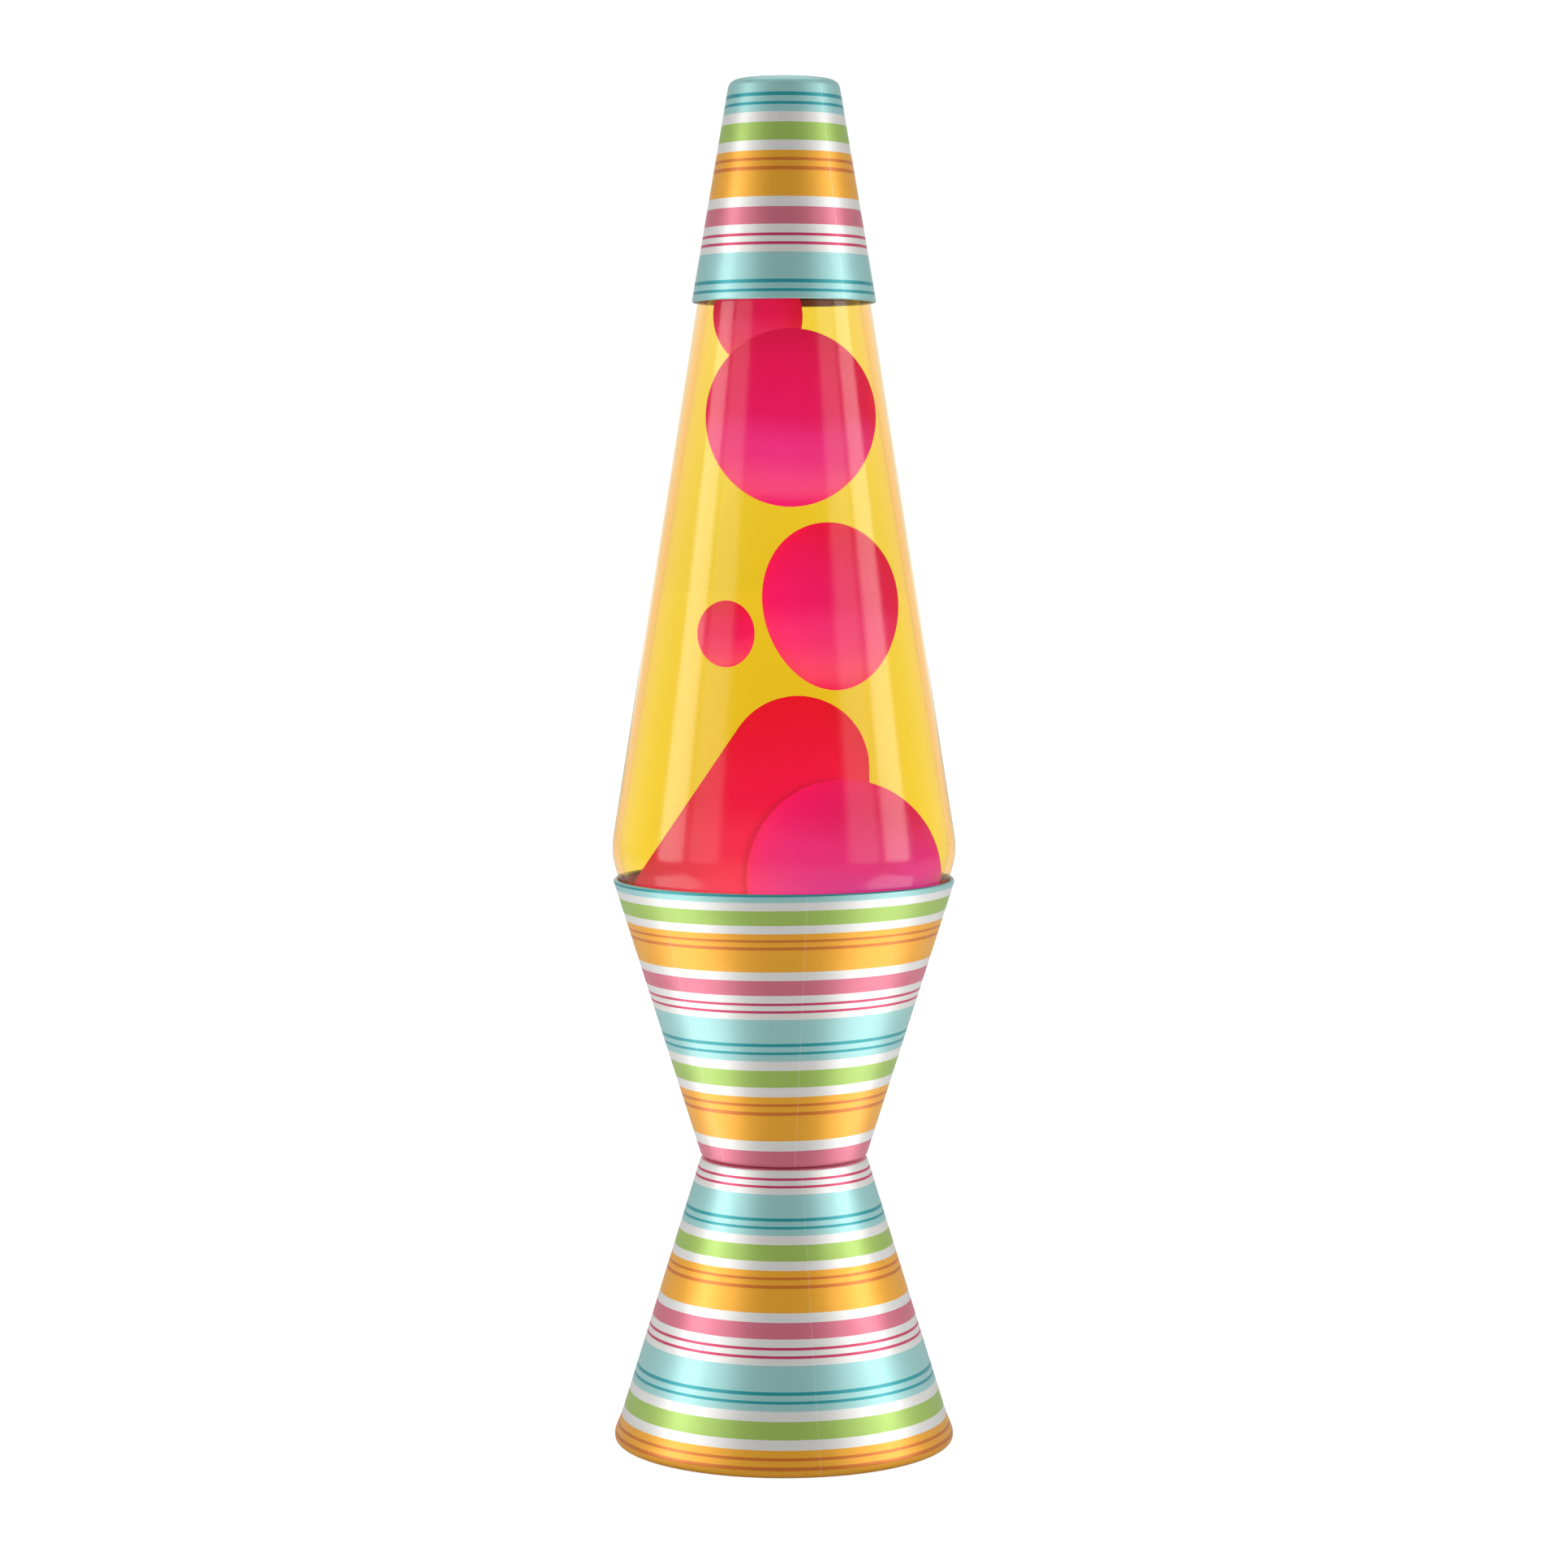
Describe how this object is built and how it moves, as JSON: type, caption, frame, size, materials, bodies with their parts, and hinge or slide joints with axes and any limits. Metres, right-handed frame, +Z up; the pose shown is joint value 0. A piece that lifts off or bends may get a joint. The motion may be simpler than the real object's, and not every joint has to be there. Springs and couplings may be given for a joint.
{
  "type": "lava lamp",
  "caption": "Table lamp with a lift-off glass globe of clear liquid and drifting wax on a waisted metal base that holds a screw-in bulb, under a lift-off metal cap.",
  "frame": {"origin": "on the surface the lamp stands on, on the lamp's own vertical axis", "axes": "+Z up along the axis of the base, globe and cap; +Y towards the back, where the cord's grommet is; -Y towards the viewer; +X to the viewer's right"},
  "size_m": [0.0929, 0.0928, 0.3683],
  "materials": {
    "striped_lacquer_lower": "satin lacquered sheet metal with printed stripes in teal, white, green, orange and pink",
    "striped_lacquer_upper": "satin lacquered sheet metal with printed stripes in teal, white, green, orange and pink",
    "striped_lacquer_cap": "satin lacquered sheet metal with printed stripes in teal, white, green, orange and pink",
    "base_plastic": "fine-grained moulded plastic",
    "foot_rubber": "matt rubber",
    "grommet_rubber": "smooth rubber",
    "pipe_brass": "threaded brass",
    "zinc_steel": "zinc-plated steel",
    "bracket_steel": "plated strip steel",
    "socket_phenolic": "moulded phenolic",
    "contact_brass": "pressed brass",
    "bulb_clear_glass": "thin clear glass",
    "nickel_wire": "nickel wire",
    "tungsten": "coiled tungsten wire",
    "bulb_cap_metal": "rolled thread in thin metal",
    "insulator_glass": "black vitrite glass",
    "solder": "soldered contact",
    "globe_clear_glass": "polished clear glass, amber at its edges from the liquid",
    "crown_tinplate": "fluted tinplate",
    "liner_plastic": "soft plastic liner",
    "amber_liquid": "clear yellow liquid",
    "crimson_wax": "warm, softly translucent wax",
    "coil_steel": "wound steel wire"
  },
  "bodies": {
    "base": {"lower_shell": "striped_lacquer_lower", "upper_shell": "striped_lacquer_upper", "base_plate": "base_plastic", "feet": "foot_rubber", "cord_grommet": "grommet_rubber", "lamp_pipe": "pipe_brass", "pipe_nuts": "zinc_steel", "pipe_washer": "zinc_steel", "socket_bracket": "bracket_steel", "waist_screws": "zinc_steel", "waist_nuts": "zinc_steel", "socket_body": "socket_phenolic", "socket_shell": "contact_brass", "socket_contact": "contact_brass", "contact_rivet": "contact_brass", "terminal_screws": "contact_brass"},
    "bulb_foot": {"bulb_tip": "solder"},
    "bulb": {"bulb_glass": "bulb_clear_glass", "bulb_stem": "bulb_clear_glass", "lead_wires": "nickel_wire", "bulb_filament": "tungsten", "bulb_cap": "bulb_cap_metal", "bulb_insulator": "insulator_glass"},
    "globe": {"globe_glass": "globe_clear_glass", "crown_cap": "crown_tinplate", "crown_liner": "liner_plastic", "liquid": "amber_liquid", "wax_pool": "crimson_wax", "heater_coil": "coil_steel"},
    "large_blob": {"wax_blob_large": "crimson_wax"},
    "top_blob": {"wax_blob_top": "crimson_wax"},
    "middle_blob": {"wax_blob_middle": "crimson_wax"},
    "small_blob": {"wax_blob_small": "crimson_wax"},
    "cap": {"cap": "striped_lacquer_cap"}
  },
  "joints": [
    {"name": "bulb_rise", "type": "slide", "parent": "base", "child": "bulb_foot", "axis": [0, 0, 1], "range_m": [0, 0.00987]},
    {"name": "bulb_turn", "type": "hinge", "parent": "bulb_foot", "child": "bulb", "pos_m": [0, 0, 0.06], "axis": [0, 0, 1], "range_deg": [0, 1260]},
    {"name": "globe_lift", "type": "slide", "parent": "base", "child": "globe", "axis": [0, 0, 1], "range_m": [0, 0.06]},
    {"name": "cap_lift", "type": "slide", "parent": "globe", "child": "cap", "axis": [0, 0, 1], "range_m": [0, 0.07]},
    {"name": "large_blob_drift", "type": "slide", "parent": "globe", "child": "large_blob", "axis": [0, 0, 1], "range_m": [-0.002, 0.0008], "deforming": ["liquid"]},
    {"name": "top_blob_drift", "type": "slide", "parent": "globe", "child": "top_blob", "axis": [0, 0, 1], "range_m": [-0.0003, 0.003], "deforming": ["liquid"]},
    {"name": "middle_blob_drift", "type": "slide", "parent": "globe", "child": "middle_blob", "axis": [0, 0, 1], "range_m": [-0.002, 0.0015], "deforming": ["liquid"]},
    {"name": "small_blob_drift", "type": "slide", "parent": "globe", "child": "small_blob", "axis": [0, 0, 1], "range_m": [-0.006, 0.02], "deforming": ["liquid"]}
  ],
  "couplings": [
    {"joint": "bulb_turn", "follows": "bulb_rise", "rad_per_m": 2228.1}
  ]
}
